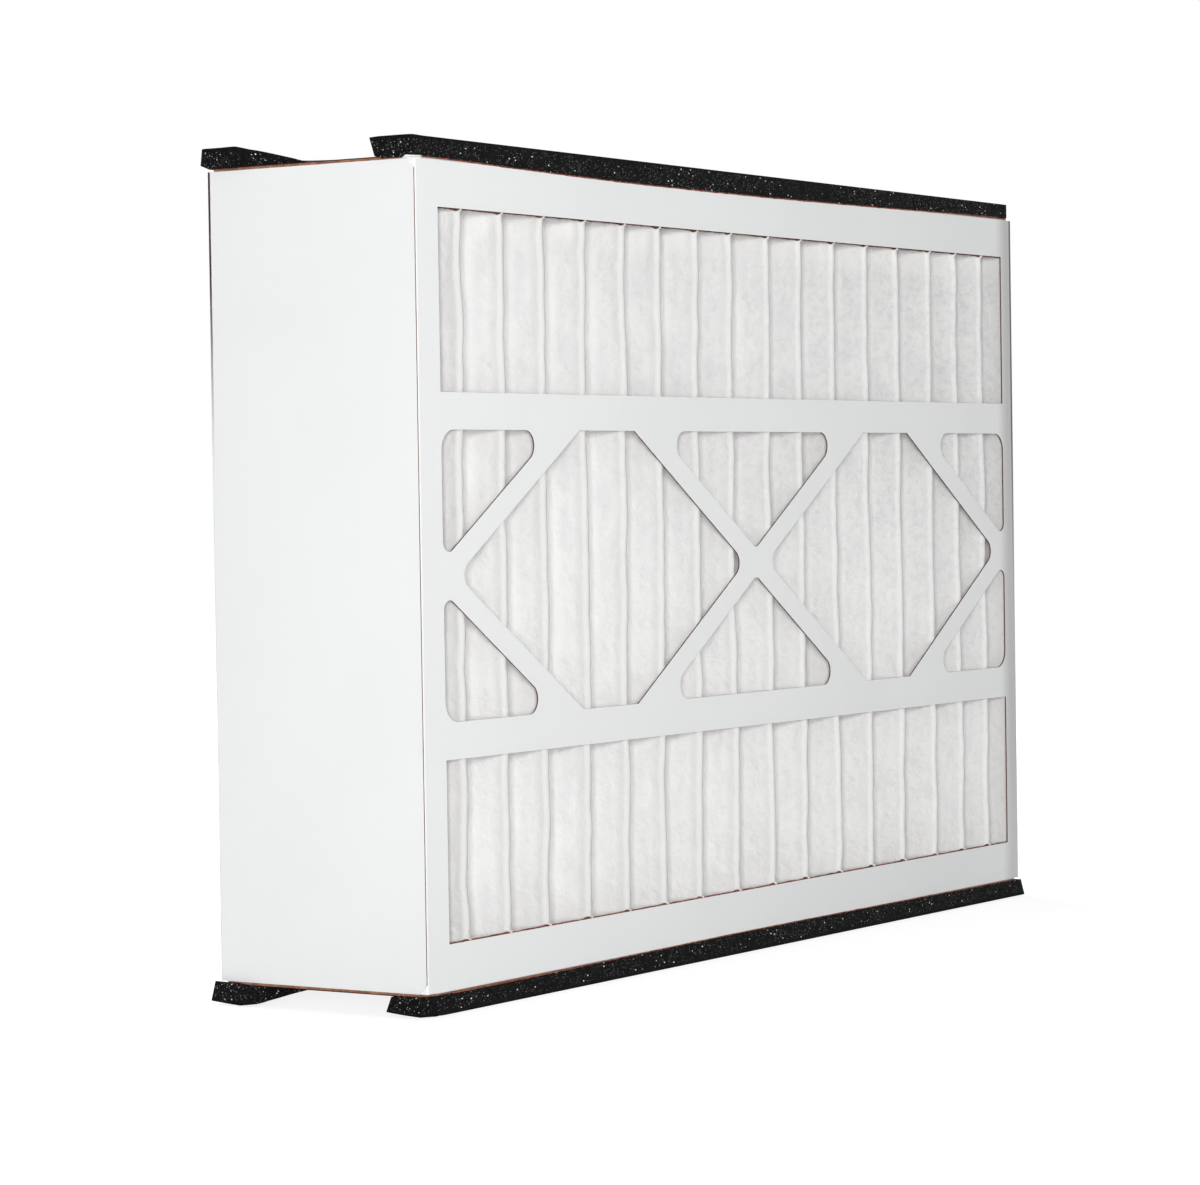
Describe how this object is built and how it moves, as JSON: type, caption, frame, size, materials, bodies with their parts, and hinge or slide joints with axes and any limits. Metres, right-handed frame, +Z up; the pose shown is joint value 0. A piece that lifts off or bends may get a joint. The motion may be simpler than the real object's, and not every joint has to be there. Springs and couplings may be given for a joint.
{
  "type": "pleated panel air filter",
  "caption": "Pleated panel air filter: a deep white non-woven pleat pack in a die-cut paperboard frame with lattice windows and black foam sealing strips.",
  "frame": {"origin": "centre of the bounding box's underside, on the plane of the lower foam strips' free side", "axes": "+X along the length, with the panel seen in the picture at -X; +Y through the depth, with the seen lattice face at -Y; +Z up, along the pleats"},
  "size_m": [0.6144, 0.1238, 0.4159],
  "materials": {
    "board": "matte",
    "media": "matte",
    "foam": "matte",
    "adhesive": "satin"
  },
  "bodies": {
    "root": {"front_frame": "board", "back_frame": "board", "pleated_media": "media", "pleat_seal_top": "adhesive", "pleat_seal_bottom": "adhesive", "end_seal_left": "adhesive", "end_seal_right": "adhesive", "gasket_top_front": "foam", "gasket_top_back": "foam", "gasket_bottom_front": "foam", "gasket_bottom_back": "foam"}
  },
  "joints": []
}
